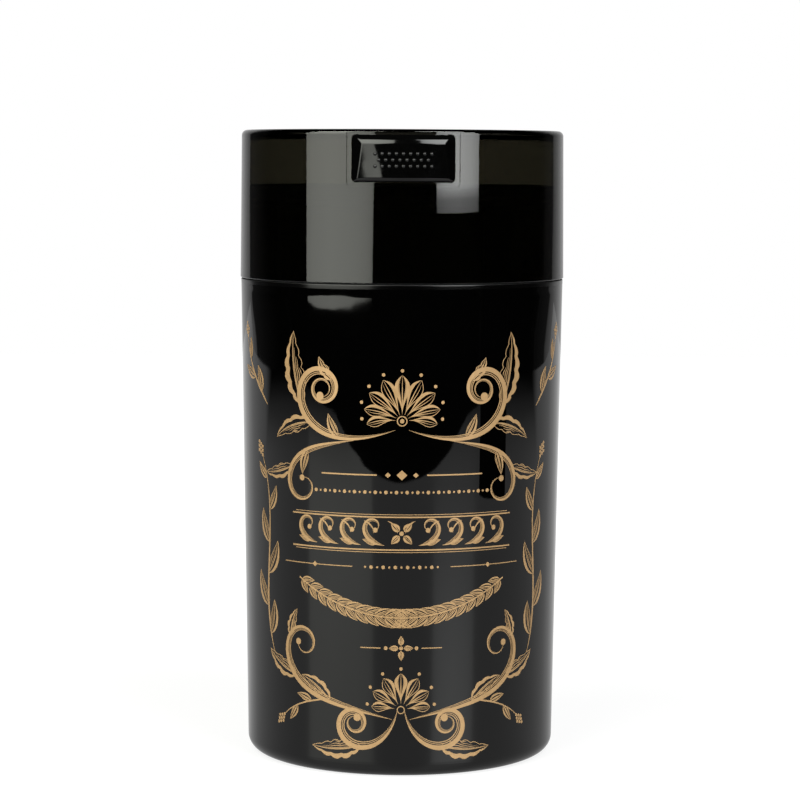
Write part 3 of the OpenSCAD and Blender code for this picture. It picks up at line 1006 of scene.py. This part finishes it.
def draw_middle(ink):
    ink.rule(9, 30, 110, 0.5)
    ink.lozenge((0, 110), 3.6, mirror=False)
    ink.lozenge((5, 110), 1.9)
    ink.beads(103.8, 0, 33, 1.9, 0.66)
    ink.running_scroll(89, 43, 8.6, 9.6)
    ink.rosette((0, 89), 5.2, 45)
    ink.rule(18, 47, 76.8, 0.3)
    ink.lozenge((33, 76.8), 1.9)
    ink.beads(76.8, 0, 14, 2.2, 0.66)
    ink.garland(71.5, 58.5, 40, 11)
    ink.rosette((0, 47.5), 4.4, 0)
    ink.disc((5.6, 47.5), 0.7)
    ink.rule(7.5, 15, 47.5, 0.35)


def draw_bottom(ink):
    ink.shell((0, 25), (0, 26, 52, 78), 11, 4.8)
    ink.ring((0, 25), 1.3, 0.35)
    low = ink.scroll((1.3, 25), -80, 62, (0.05, 0.42), 1.8, 3.3, eye=1.4)
    at, angle = heading_at(low, 0.34)
    ink.leaf(at, angle - 22, 20, 7.4, bend=0.026, lobes=5, veins=4)
    wing = ink.scroll((3.2, 21.5), 14, 84, (-0.002, 0.34), 2.6, 3.0, thick_at=0.45)
    for share, turn, length, width, bend in (
        (0.3, 34, 15, 6, -0.04), (0.5, -36, 17, 6.4, 0.035), (0.68, -30, 11, 4.4, 0.05)
    ):
        at, angle = heading_at(wing, share)
        ink.leaf(at, angle + turn, length, width, bend=bend, lobes=4, veins=3)


def draw_sides(ink):
    leaves = [(0.1, 1, 13, 4.8), (0.24, -1, 14, 5), (0.4, 1, 14, 5), (0.56, -1, 13, 4.6)]
    leaves += [(0.72, 1, 10, 3.8), (0.88, -1, 8, 3)]
    ink.sprig((54, 42), 66, 74, (0.028, -0.03), leaves, 0.8)
    leaves = [(0.2, 1, 10, 4), (0.45, -1, 10, 3.8), (0.7, 1, 8, 3)]
    ink.sprig((57, 133), 48, 30, (-0.01, 0.05), leaves, 0.75)
    ink.sprig((27, 28), -10, 24, (0.0, -0.05), [(0.35, 1, 7, 2.8), (0.65, -1, 7, 2.8)], 0.7, width=0.6)


def on_wall(u, v, lift):
    """Place on the jar's tapering wall of a point of the flat drawing."""
    share = (v - WALL_LOW[0]) / (WALL_HIGH[0] - WALL_LOW[0])
    radius = WALL_LOW[1] + (WALL_HIGH[1] - WALL_LOW[1]) * share + lift
    turn = u / PRINT_RADIUS
    return Vector((radius * sin(turn), -radius * cos(turn), v)) * MM


def add_print(material):
    """The ornament as a thin layer of ink wrapped round the jar."""
    ink = Print()
    for draw in (draw_top, draw_middle, draw_bottom, draw_sides):
        draw(ink)
    points, faces = [], []
    for index, (left, right) in enumerate(ink.strips):
        lift = PRINT_LIFT + index % PRINT_LEVELS * LEVEL_STEP
        widest = max(hypot(a[0] - b[0], a[1] - b[1]) for a, b in zip(left, right))
        across = ceil(widest / SHEET_STEP)
        start = len(points)
        for (u0, v0), (u1, v1) in zip(left, right):
            for k in range(across + 1):
                share = k / across
                points.append(on_wall(u0 + (u1 - u0) * share, v0 + (v1 - v0) * share, lift))
        for i in range(len(left) - 1):
            for k in range(across):
                first = start + i * (across + 1) + k
                faces.append((first, first + 1, first + across + 2, first + across + 1))
    layer = new_mesh("gold_print", points, faces)
    solid = layer.modifiers.new("thickness", "SOLIDIFY")
    solid.thickness = PRINT_THICKNESS * MM
    solid.offset = -1
    finish_piece(layer, material, "jar")


add_camera()
add_panel("left_panel", LEFT_PANEL)
add_panel("right_panel", RIGHT_PANEL)
add_paper()
add_card()
light_world()
dress("jar", gloss_black())
dress("cap", smoke_plastic())
pad_rubber = rubber("button_rubber", *PAD_RUBBER)
add_pad(pad_rubber)
add_dots(pad_rubber)
seal_rubber = rubber("seal_rubber", *SEAL_RUBBER)
add_seal(seal_rubber)
add_flap(seal_rubber)
add_print(gold_ink())

bpy.context.scene.view_settings.view_transform = "Standard"
